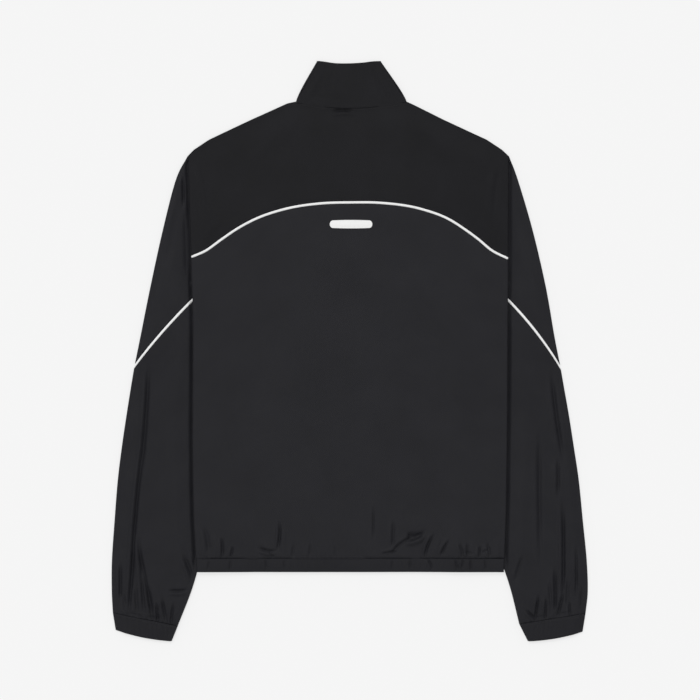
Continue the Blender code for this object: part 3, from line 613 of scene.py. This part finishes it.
def band_points():
    """The band as stations round the hem by lines from its seam to its folded lower edge."""
    lower = np.linspace(2.0, 198.0, LOWER_STATIONS)
    turn = np.linspace(0.0, math.pi, 14)
    share, shift, drop = rolled(18, 0.7, 1.3)
    y = (HEM_SEAM_Y - 0.9 + (HEM_EDGE_Y + 1.3 - HEM_SEAM_Y + 0.9) * share - shift)[None, :]
    rows_x, rows_z, rows_upper = [], [], []
    for side in (-1, 1):
        x = side * lower[:, None] + 0.0 * y
        fold_x = side_x(side, y) - side * FOLD_RADIUS * (1.0 - np.sin(turn[:, None]))
        z = front_level(lower, HEM_SEAM_Y)[:, None] + 0.0 * y
        fold_z = TUCK_HEIGHT + FOLD_RADIUS * (1.0 - np.cos(turn[:, None])) + 0.0 * y
        upper = np.concatenate([np.zeros(LOWER_STATIONS), 0.5 - 0.5 * np.cos(turn)])
        upper = upper[:, None] + 0.0 * y
        parts = [np.concatenate([x, fold_x]), np.concatenate([z, fold_z]), upper]
        for rows, part in zip((rows_x, rows_z, rows_upper), parts):
            rows.append(part if side < 0 else part[::-1])
    top_x = np.linspace(-205.0, 205.0, 300)[:, None] + 0.0 * y
    low = back_level(top_x, HEM_SEAM_Y) + 0.3
    top_z = low + (TUCK_HEIGHT + 2.0 * FOLD_RADIUS - low) * smooth(170.0, 205.0, np.abs(top_x))
    top_z = top_z + crumple(top_x, HEM_SEAM_Y + 0.0 * y, 3, BROAD_WAVE, BROAD_RISE)
    gathers = ruche(top_x, 4, 8.3) + 0.5 * ruche(top_x + 3.0, 5, 4.9)
    shape = 0.9 * np.sin(math.pi * np.clip(share, 0.0, 1.0)) ** 0.6 - 0.2
    top_z = top_z + shape[None, :] * (0.45 + 0.42 * gathers) + creases(top_x, y, BAND_CREASES)
    top_z = top_z + (1.0 - seam_shows(top_x)) * np.where(shift < 0.0, drop, 0.0)[None, :]
    rows_x.insert(1, top_x)
    rows_z.insert(1, top_z)
    rows_upper.insert(1, np.ones_like(top_x))
    x, z, upper = (np.concatenate(rows) for rows in (rows_x, rows_z, rows_upper))
    z = z + (1.0 - 2.0 * upper) * drop[None, :]
    return np.stack([x, y + 0.0 * x, z], axis=-1)


# The same weave drawn together over elastic: duller, with a stronger crinkle, and a deeper black
# that is painted shade for the gathers. It dresses the hem band and the cuffs.
casing_black_painted_shade = woven("gathered black elastic casing", "#18181c", "#1c1c20", roughness=0.56,
                     crinkle=0.16)
points = band_points()
hem_band = cloth_piece("cloth_hem_band", points, casing_black_painted_shade, wall=0.8)
place_piece(hem_band, node="hem_band")

# ==== Sleeves ================================================================================
# Each sleeve is an upper piece and a lower piece with a piped seam between, and a cuff. They are
# flat tubes that lie on the ground: the armhole end is beside the body, the rest partly under it.
SLEEVES = {  # sections: outer x, y; inner x, y; bow towards the shoulder
    -1: {"upper": ((-226.7, 272, -218.4, 101.5, 0), (-243, 239, -216, 97, 0),
                   (-261.2, 169, -214, 94.5, 0), (-278.5, 90, -215.8, 93, 1),
                   (-292.5, 20, -211, 90.8, 2)),
         "lower": ((-301, -22, -204, 86.5, 3), (-306, -52, -178, 48, 2),
                   (-312, -90, -162, -12, 0), (-318.6, -135, -160, -80, 0),
                   (-324.2, -181, -169, -145, 0), (-328.6, -237, -187, -212, 0),
                   (-332.3, -292, -205.6, -281, 0), (-332.5, -335, -220.4, -333, 0),
                   (-331, -365.5, -240, -383.5, 0)),
         "cuff": ((-331, -365.5, -240, -383.5, 0), (-327, -389.6, -248.6, -405.2, 0))},
    1: {"upper": ((222.4, 272, 218.6, 101.5, 0), (234.8, 239, 216.2, 97, 0),
                  (255.4, 169, 214.2, 94.5, 0), (273.8, 90, 216, 93.4, 1.5),
                  (286, 20, 211, 91.8, 3.5)),
        "lower": ((294.6, -24, 204, 88, 5), (299.5, -52, 178, 48, 3),
                  (306.2, -90, 162, -12, 0), (313.2, -135, 160, -80, 0),
                  (320, -181, 169, -145, 0), (325.6, -237, 187, -212, 0),
                  (331, -292, 207.5, -281, 0), (332.5, -335, 224, -331, 0),
                  (329.4, -366, 236.5, -381, 0)),
        "cuff": ((329.4, -366, 236.5, -381, 0), (325.2, -392, 248.6, -405.2, 0))}}
SLEEVE_CREASES = {  # x0, y0, x1, y1, bow, width, height, lip
    -1: ((-281, -24, -292, -176, 1.5, 2.5, -3.6, 0.5),
         (-290, -140, -304, -300, -1, 2, -3.9, 0.5),
         (-301, -270, -308, -366, 0, 2.1, -3.5, 0.5),
         (-295, -262, -287, -366, 1, 2.2, -3.1, 0.5),
         (-292, -284, -276, -372, 0.5, 1.7, -3.1, 0.5),
         (-320, -296, -320, -350, 0, 2, -2.8, 0.5),
         (-232, -286, -219, -320, 1, 2.2, -3, 0.6),
         (-252, -335, -227, -334, -0.5, 1.5, -3.9, 0.6),
         (-262, -346, -256, -378, 0, 1.6, -2.8, 0.4),
         (-270, -352, -268, -378, 0, 1.5, -2.5, 0.4),
         (-246, -352, -250, -382, 0, 1.6, -2.2, 0.4),
         (-302, -10, -313, -150, 1, 9, 1.1, 0.3),
         (-240, 60, -246, -60, -4, 9, -1.2, 0.5),
         (-252, -70, -262, -230, 3, 10, 0.9, 0.5),
         (-232, 220, -262, 90, -3, 7, -1.2, 0.6),
         (-243, 150, -272, 26, -3, 8, 0.8, 0.6),
         (-229.5, 196, -226.5, 100, 0, 3.4, -2.2, 0.3),
         (-316, -340, -311, -364, 0, 2.6, -1.8, 0.4),
         (-299, -330, -296, -368, 0, 2.4, -2, 0.4),
         (-282, -330, -276, -366, 1, 2.6, -2.4, 0.4),
         (-284, -372, -262, -374, 1, 2.2, -1.6, 0.4),
         (-310, -366, -288, -372, 1, 2, -1.4, 0.4),
         (-232.6, 244, -232, 202, 0, 1.9, -2.8, 0.5),
         (-227, 266, -224, 240, 0, 1.8, -2.5, 0.4)),
    1: ((265, -120, 266, -290, -1, 2.9, -2.4, 0.6),
        (282, -34, 298, -152, -1.5, 2.5, -3.1, 0.5),
        (290.5, -152, 290.5, -202, 0, 2.1, -2.8, 0.5),
        (297, -214, 297, -352, 1, 2.1, -3.9, 0.5),
        (297, -340, 290, -370, 0, 1.9, -3.1, 0.5),
        (316, -274, 316, -342, 0, 2, -2.8, 0.5),
        (286, -306, 286.5, -368, 0, 1.9, -3.1, 0.5),
        (263, -342, 258, -376, 0, 1.6, -3.1, 0.4),
        (246, -362, 259, -374, 0, 1.5, -3.1, 0.4),
        (274, -344, 272, -376, 0, 1.5, -2.5, 0.4),
        (306, -350, 307, -370, 0, 1.5, -2.4, 0.4),
        (242, -286, 231, -322, -1, 2.5, -1.9, 0.6),
        (296, -10, 306, -150, -1, 8, 0.9, 0.3),
        (279, -326, 282, -366, 0, 2.4, -1.9, 0.4),
        (304, -318, 303, -362, 0, 2.4, -1.9, 0.4),
        (324, -330, 323, -360, 0, 2.2, -1.5, 0.4),
        (252, -371, 276, -370, -1, 2.2, -1.5, 0.4),
        (286, -368, 306, -364, -1, 2, -1.4, 0.4),
        (240, 60, 246, -70, 4, 9, -1, 0.5),
        (250, -70, 252, -230, -2, 10, 0.8, 0.5),
        (230, 220, 256, 90, 3, 7, -1.2, 0.6),
        (240, 150, 266, 26, 3, 8, 0.8, 0.6))}
UNDER_ARMHOLE = np.array([2.4, 0.0, 6.0, 0.0, 0.0])  # how far the sleeve runs in under the body
PUFF = 2.5  # how far the top stands up from its rounded edges
GUTTER = 2.9  # how deep it sinks beside the body's edge
ROUND, UNDER = 6, 16  # points round each edge and along the underside


def run_of(table, shares):
    """Sections between the rows of a table, on smooth curves through its columns."""
    table = np.asarray(table, float)
    if len(table) == 2:
        return table[0] + (table[1] - table[0]) * np.asarray(shares)[:, None]
    keys = np.linspace(0.0, 1.0, len(table))
    return np.stack([through(keys, table[:, k], shares) for k in range(5)], axis=1)


def moved_section(row, distance, toward):
    """A section moved square to itself, its outer end sliding towards the next section's."""
    outer, inner = np.array(row[:2]), np.array(row[2:4])
    along = (inner - outer) / np.linalg.norm(inner - outer)
    square = np.array([-along[1], along[0]]) * (1.0 if inner[0] > outer[0] else -1.0)
    slide = np.array(toward[:2]) - outer
    outer = outer + slide * distance / slide.dot(square)
    return np.array([*outer, *(inner + square * distance), row[4]])


def sleeve_rings(side, sections, across, gathers=0.0, swell=0.0, low=0.0):
    """A flattened sleeve as closed rings: over the top, round the inner edge, back underneath and
    round the outer edge. The top puffs up away from its edges and from the body's side, with the
    folds and gathers pressed into it. Swell makes a row stand proud and low brings its top down.
    """
    turn = np.linspace(0.0, math.pi, ROUND + 2)[1:-1]
    share = np.concatenate([np.linspace(0.0, 1.0, across), np.ones(ROUND),
                            np.linspace(1.0, 0.0, UNDER), np.zeros(ROUND)])[None, :]
    out = np.concatenate([np.zeros(across), np.sin(turn), np.zeros(UNDER), -np.sin(turn)])[None, :]
    high = np.concatenate([np.ones(across), np.cos(turn), -np.ones(UNDER), -np.cos(turn)])[None, :]
    swell, low, gathers = (np.reshape(part, (-1, 1)) + np.zeros((len(sections), 1))
                           for part in (swell, low, gathers))
    outer, inner = sections[:, None, 0:2], sections[:, None, 2:4]
    width = np.linalg.norm(inner - outer, axis=2)
    along = (inner - outer) / width[..., None]
    square = np.stack([-along[..., 1], along[..., 0]], axis=-1) * np.sign(inner - outer)[..., :1]
    place = FOLD_RADIUS + share * (width - 2.0 * FOLD_RADIUS) + out * (FOLD_RADIUS + swell)
    part = place / width
    bow = sections[:, 4:5] * 4.0 * part * (1.0 - part)
    plan = outer + along * place[..., None] + square * bow[..., None]
    x, y = plan[..., 0], plan[..., 1]
    outside = np.abs(x) - np.abs(side_x(side, y))
    edge = smooth(2.0, 9.0, place) * smooth(2.0, 9.0, width - place)
    clear = smooth(0.0, 9.0, outside)
    folds = creases(x, y, SLEEVE_CREASES[side])
    pressed = folds + crumple(x, y, 30 + side, 75.0, 0.35) + crumple(x, y, 40 + side, 28.0, 0.10)
    pressed = pressed + gathers * ruche(place, 50 + side, 7.0)
    top = PUFF * smooth(3.0, 26.0, outside) * smooth(2.0, 16.0, place) + pressed * edge * clear
    beside_body = smooth(-24.0, -9.0, outside) * (1.0 - smooth(0.8, 6.5, outside))
    top = top - 0.4 * (1.0 - clear) - GUTTER * beside_body * edge + swell - low
    under = np.clip(-0.4 * creases(x + 9.0, y - 12.0, SLEEVE_CREASES[side]), 0.0, 0.7)
    under = under * edge * clear
    level = FOLD_RADIUS * (1.0 + high) + np.where(high > 0.999, top, 0.0)
    level = level + np.where(high < -0.999, under, 0.0)
    level = level + np.where(np.abs(high) < 0.999, (0.5 + 0.5 * high) * (swell - low), 0.0)
    return np.stack([x, y, level], axis=-1)


# The same weave again, a shade deeper than the back's: painted shade over the whole sleeves for the
# darkness that falls on them beside the body.
sleeve_black_painted_shade = woven("black plain-woven polyester of the sleeves", "#19191d", "#1d1d21")
cuff_lines = []
for side, word in ((-1, "l"), (1, "r")):
    table = SLEEVES[side]
    seam, wrist = table["lower"][0], table["cuff"][0]
    above, below = table["upper"][-1], table["lower"][1]
    end = half_piping - 0.2

    sections = run_of([*table["upper"], moved_section(seam, end, above)],
                      np.linspace(0.0, 1.0, 95))
    tucked = sections[:1] - side * UNDER_ARMHOLE
    sections = np.concatenate([tucked, sections])
    points = sleeve_rings(side, sections, 96, low=0.7 * np.exp(-(np.arange(96)[::-1] / 1.6) ** 2))
    upper = cloth_piece("cloth_sleeve_upper_" + word, points, sleeve_black_painted_shade, closed=True,
                        flip=side < 0)
    place_piece(upper, node="sleeve_upper_" + word)

    turn = np.linspace(-0.2 * math.pi, 1.2 * math.pi, 15)
    sections = np.array([moved_section(seam, d, above if d > 0 else below)
                         for d in PIPING_HALF_WIDTH * np.cos(turn)])
    points = sleeve_rings(side, sections, 120, swell=PIPING_HALF_HEIGHT * np.sin(turn) - 0.3)
    piping = cloth_piece("piping_sleeve_" + word, points, white_satin, wall=PIPING_WALL,
                         closed=True, flip=side < 0)
    place_piece(piping, node="sleeve_piping_" + word)

    count = 208
    sections = run_of([moved_section(seam, -end, below), *table["lower"][1:-1],
                       moved_section(wrist, 0.1, table["lower"][-2])],
                      np.linspace(0.0, 1.0, count))
    to_cuff = 400.0 * np.linspace(1.0, 0.0, count)
    dips = 0.7 * np.exp(-(np.arange(count) / 1.6) ** 2) + 0.5 * np.exp(-(to_cuff / 2.2) ** 2)
    points = sleeve_rings(side, sections, 104, gathers=0.7 * np.exp(-to_cuff / 13.0), low=dips)
    lower = cloth_piece("cloth_sleeve_lower_" + word, points, sleeve_black_painted_shade, closed=True,
                        flip=side < 0)
    place_piece(lower, node="sleeve_lower_" + word)

    cuff = table["cuff"]
    rows = np.linspace(0.0, 1.0, 26)
    sections = run_of([moved_section(wrist, -0.1, cuff[1]), cuff[1]], rows)
    dips = 0.5 * np.exp(-(rows * 25.0 / 2.0) ** 2) + 1.5 * smooth(0.9, 1.0, rows)
    sections[:, 4] = -2.6 * smooth(0.0, 1.0, rows)
    points = sleeve_rings(side, sections, 104, gathers=0.4 * np.sin(math.pi * rows) ** 0.5,
                          low=dips)
    cuff_piece = cloth_piece("cloth_cuff_" + word, points, casing_black_painted_shade, wall=0.9, closed=True,
                             flip=side < 0)
    place_piece(cuff_piece, node="cuff_" + word)
    cuff_lines.append(points[3, 2:102])

# ==== Label ==================================================================================
# A plain white woven pill, sewn flat on the upper back under the piping. It carries nothing.
LABEL_CENTRE = (1.8, 176.8)
LABEL_LENGTH, LABEL_HEIGHT = 59.5, 11.9


def closed_rings(name, rings, material):
    """A solid skin over closed rings, with its first and last ring filled."""
    count, sides = rings.shape[:2]
    i, j = np.meshgrid(np.arange(count - 1), np.arange(sides), indexing="ij")
    faces = np.stack([i * sides + j, i * sides + (j + 1) % sides,
                      (i + 1) * sides + (j + 1) % sides, (i + 1) * sides + j], -1).reshape(-1, 4)
    caps = [list(range(sides))[::-1], list(range((count - 1) * sides, count * sides))]
    mesh = bpy.data.meshes.new(name)
    mesh.from_pydata((rings.reshape(-1, 3) * MM).tolist(), [], faces.tolist() + caps)
    work = bmesh.new()
    work.from_mesh(mesh)
    bmesh.ops.recalc_face_normals(work, faces=work.faces)
    work.to_mesh(mesh)
    work.free()
    return finished(name, mesh, material)


def pill(inset, count=96):
    """The label's outline moved in by the inset: two half circles joined by straight sides."""
    turn = np.linspace(0.0, 2.0 * math.pi, count, endpoint=False)
    radius = LABEL_HEIGHT / 2.0 - inset
    middle = (LABEL_LENGTH - LABEL_HEIGHT) / 2.0
    bend = np.clip(np.cos(turn) * 2.2, -1.0, 1.0)
    x = middle * bend + radius * np.cos(turn)
    return LABEL_CENTRE[0] + x, LABEL_CENTRE[1] + radius * np.sin(turn)


def woven_label():
    """White polyester damask, woven in narrow ribs: a flat off-white with a slight gloss.

    The ribs are drawn 0.8 mm apart, coarser than real ones, so that they show.
    """
    material, tree, shader = surface("white damask label", Roughness=0.5,
                                     Specular_IOR_Level=0.3, Base_Color=linear("#efefee"))
    spacing = 0.8 * MM
    place = add(tree, "SeparateXYZ", {0: add(tree, "TexCoord").outputs["Object"]})
    turns = add(tree, "Math", {0: place.outputs["X"], 1: 2.0 * math.pi / spacing},
                operation="MULTIPLY")
    ribs = add(tree, "Math", {0: turns.outputs[0]}, operation="SINE")
    raised = add(tree, "Bump", {"Height": ribs.outputs[0], "Strength": 0.3, "Distance": 0.08 * MM})
    tree.links.new(raised.outputs["Normal"], shader.inputs["Normal"])
    return material


rings = []
for inset, height in ((2.6, 1.15), (1.9, 1.0), (1.2, 1.15), (0.6, 1.12), (0.2, 0.95), (0.0, 0.6),
                      (0.1, 0.1), (0.6, -0.2)):
    x, y = pill(inset)
    rings.append(np.stack([x, y, back_shape(x, y) + height], axis=-1))
white_label = woven_label()
label = closed_rings("label_pill", np.array(rings), white_label)
place_piece(label, node="label")

# ==== Zip ====================================================================================
# A closed nylon coil zip down the middle of the fronts, on their inner side: two knitted tapes,
# two rows of coil teeth, and an enamelled slider with its pull at the top.
TAPE_INNER, TAPE_OUTER, ZIP_LOW_Y, ZIP_HIGH_Y = 2.9, 15.0, -306.0, 316.0
CHAIN_HIGH_Y = 295.9
TOOTH_PITCH = 1.5


def small_tubes(name, paths, radius, sides, material):
    """Many short tubes with flat ends as one mesh: a ring across each point of each path."""
    count, steps = paths.shape[:2]
    along = np.gradient(paths, axis=1)
    along /= np.linalg.norm(along, axis=2, keepdims=True)
    first = np.cross(along, np.broadcast_to([0.31, 0.17, 0.93], along.shape))
    first /= np.linalg.norm(first, axis=2, keepdims=True)
    second = np.cross(along, first)
    turn = np.linspace(0.0, 2.0 * math.pi, sides, endpoint=False)[:, None]
    rings = (paths[:, :, None] + radius * np.cos(turn) * first[:, :, None]
             + radius * np.sin(turn) * second[:, :, None])
    tube, i, j = np.meshgrid(np.arange(count), np.arange(steps - 1), np.arange(sides),
                             indexing="ij")
    base = tube * steps * sides
    faces = np.stack([base + i * sides + j, base + i * sides + (j + 1) % sides,
                      base + (i + 1) * sides + (j + 1) % sides, base + (i + 1) * sides + j], -1)
    starts = np.arange(count)[:, None] * steps * sides
    caps = np.concatenate([starts + np.arange(sides)[::-1],
                           starts + (steps - 1) * sides + np.arange(sides)])
    mesh = bpy.data.meshes.new(name)
    mesh.from_pydata((rings.reshape(-1, 3) * MM).tolist(), [],
                     faces.reshape(-1, 4).tolist() + caps.tolist())
    return finished(name, mesh, material)


def nylon_coil():
    """Black nylon monofilament, extruded: smooth, with a narrow soft gloss along each turn."""
    material, tree, shader = surface("black nylon coil", Roughness=0.34,
                                     Base_Color=linear("#1b1b1c"))
    grain = add(tree, "TexNoise", {"Vector": add(tree, "TexCoord").outputs["Object"],
                                   "Scale": 900.0})
    raised = add(tree, "Bump", {"Height": grain.outputs["Fac"], "Strength": 0.15,
                                "Distance": 0.05 * MM})
    tree.links.new(raised.outputs["Normal"], shader.inputs["Normal"])
    return material


def enamelled_metal():
    """Black enamel baked on die-cast zinc: an even black gloss with a faint orange peel."""
    material, tree, shader = surface("black enamelled zinc", Roughness=0.3, Metallic=0.0,
                                     Base_Color=linear("#161617"), Coat_Weight=0.4,
                                     Coat_Roughness=0.15)
    peel = add(tree, "TexNoise", {"Vector": add(tree, "TexCoord").outputs["Object"],
                                  "Scale": 650.0, "Detail": 2.0})
    raised = add(tree, "Bump", {"Height": peel.outputs["Fac"], "Strength": 0.2,
                                "Distance": 0.06 * MM})
    tree.links.new(raised.outputs["Normal"], shader.inputs["Normal"])
    return material


# Warp-knitted polyester: coarser loops than the cloth's threads, and a dry matt face.
black_tape = woven("black knitted zip tape", "#202022", "#262628", 1.1, 0.75, 0.7, 0.1)
black_coil = nylon_coil()
black_enamel = enamelled_metal()
across = np.linspace(0.0, 1.0, 14)[None, :]
down = np.linspace(ZIP_LOW_Y, ZIP_HIGH_Y, 160)[:, None]
for side, word in ((-1, "l"), (1, "r")):
    x = TAPE_INNER + (TAPE_OUTER - TAPE_INNER) * across + 0.0 * down
    bead = 0.35 * np.exp(-((across - 0.08) / 0.07) ** 2)  # the woven-in edge beside the coil
    bead = bead + 0.15 * np.exp(-((across - 0.95) / 0.05) ** 2)  # the selvedge
    points = np.stack([side * x, down + 0.0 * x, 1.9 - bead + 0.0 * x], axis=-1)
    tape = cloth_piece("zip_tape_" + word + "_cloth", points, black_tape, wall=0.6, flip=side > 0)
    place_piece(tape, node="zip_tape_" + word)
y = np.arange(ZIP_LOW_Y + 2.0, CHAIN_HIGH_Y - 1.0, TOOTH_PITCH)
# One turn of the coil, from the tape over the middle line and back: x, y and z.
loop = np.array([(3.0, -0.25, 2.75), (1.3, -0.2, 2.8), (-0.1, -0.05, 2.45), (-0.5, 0.0, 2.05),
                 (-0.1, 0.05, 1.75), (1.3, 0.2, 1.5), (3.0, 0.25, 1.6)])
paths = []
for side in (-1, 1):
    centre = np.stack([0.0 * y, y + (TOOTH_PITCH / 2.0 if side > 0 else 0.0), 0.0 * y], axis=-1)
    paths.append(centre[:, None] + loop[None] * np.array([side, 1.0, 1.0]))
filament_radius = 0.3
teeth = small_tubes("zip_coil_teeth", np.concatenate(paths), filament_radius, 5, black_coil)
place_piece(teeth, node="zip_chain")
for node in ("zip_slider", "zip_pull"):
    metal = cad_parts[node]
    for number in range(max(1, len(metal.material_slots))):
        if metal.material_slots:
            metal.material_slots[number].material = black_enamel
        else:
            metal.data.materials.append(black_enamel)

# ==== Topstitching ===========================================================================
# Polyester thread in lockstitch, 3.2 mm from stitch to stitch, along the yoke seam, the hem, the
# collar's seam and the cuffs. It is black on black, and only its small humps show.


def stitches(line, pitch=3.2, length=2.5):
    """Short arcs along a line: each goes from just under the cloth to 0.2 mm over it."""
    run = np.concatenate([[0.0], np.cumsum(np.linalg.norm(np.diff(line, axis=0), axis=1))])
    starts = np.arange(pitch, run[-1] - pitch, pitch)
    at = starts[:, None] + length * np.array([0.0, 0.3, 0.7, 1.0])[None, :]
    lift = np.array([-0.2, 0.16, 0.16, -0.2])[None, :]
    return np.stack([np.interp(at, run, line[:, 0]), np.interp(at, run, line[:, 1]),
                     np.interp(at, run, line[:, 2]) + lift], axis=-1)


def sewing_thread():
    """Black spun polyester thread, two plies twisted: dull, with small lights on its humps."""
    material, tree, shader = surface("black sewing thread", Roughness=0.5,
                                     Specular_IOR_Level=0.3, Base_Color=linear("#232325"))
    plies = add(tree, "TexWave", {"Vector": add(tree, "TexCoord").outputs["Object"],
                                  "Scale": 900.0})
    raised = add(tree, "Bump", {"Height": plies.outputs["Fac"], "Strength": 0.3,
                                "Distance": 0.05 * MM})
    tree.links.new(raised.outputs["Normal"], shader.inputs["Normal"])
    return material


x = np.linspace(-212.0, 212.0, 900)
y = yoke_seam_y(x, half_piping + 2.4)
lines = [np.stack([x, y, yoke_shape(x, y)], axis=-1)]
y = HEM_SEAM_Y + 2.8 + 0.0 * x
lines.append(np.stack([x, y, back_shape(x, y)], axis=-1))
x = np.linspace(-66.0, 68.0, 300)
y = shoulder_y(x) - 4.0
lines.append(np.stack([x, y, yoke_shape(x, y)], axis=-1))
lines += cuff_lines
black_thread = sewing_thread()
thread_radius = 0.2
paths = np.concatenate([stitches(line) for line in lines])
topstitch = small_tubes("topstitching", paths, thread_radius, 5, black_thread)
place_piece(topstitch)

# ==== Floor, light and camera ================================================================
# A plain pale table lit from all round, with one soft key from the upper left, and a camera that
# looks straight down.
TABLE_HALF, TABLE_LEVEL = 6.0, -0.0004  # metres
CAMERA_PLACE = (0.0003, 0.0014, 2.718)
scene = bpy.context.scene
scene.view_settings.view_transform = "Standard"
# Painted board, rolled matt: an even near-white that keeps only the softest shadows.
material, tree, shader = surface("pale matt table", Roughness=0.9, Specular_IOR_Level=0.0,
                                 Base_Color=(0.26, 0.26, 0.26, 1.0), Emission_Strength=0.655,
                                 Emission_Color=(1.0, 1.0, 1.0, 1.0))
grain = add(tree, "TexNoise", {"Vector": add(tree, "TexCoord").outputs["Object"], "Scale": 30.0})
raised = add(tree, "Bump", {"Height": grain.outputs["Fac"], "Strength": 0.02, "Distance": MM})
tree.links.new(raised.outputs["Normal"], shader.inputs["Normal"])
mesh = bpy.data.meshes.new("table")
mesh.from_pydata([(x * TABLE_HALF, y * TABLE_HALF, TABLE_LEVEL)
                  for x, y in ((-1, -1), (1, -1), (1, 1), (-1, 1))], [], [(0, 1, 2, 3)])
mesh.materials.append(material)
floor = bpy.data.objects.new("table", mesh)
scene.collection.objects.link(floor)

world = bpy.data.worlds.new("studio")
world.use_nodes = True
world.node_tree.nodes["Background"].inputs["Color"].default_value = (1.0, 1.0, 1.0, 1.0)
world.node_tree.nodes["Background"].inputs["Strength"].default_value = 0.68
scene.world = world
key = bpy.data.lights.new("key", "SUN")
key.energy = 1.2
key.angle = math.radians(35.0)
key_light = bpy.data.objects.new("key", key)
key_light.rotation_euler = (math.radians(-30.0), math.radians(-12.0), 0.0)
scene.collection.objects.link(key_light)

camera = bpy.data.cameras.new("camera")
camera.lens = 100.0
camera.sensor_width = 36.0
camera.clip_end = 50.0
camera_object = bpy.data.objects.new("camera", camera)
camera_object.location = CAMERA_PLACE
scene.collection.objects.link(camera_object)
scene.camera = camera_object
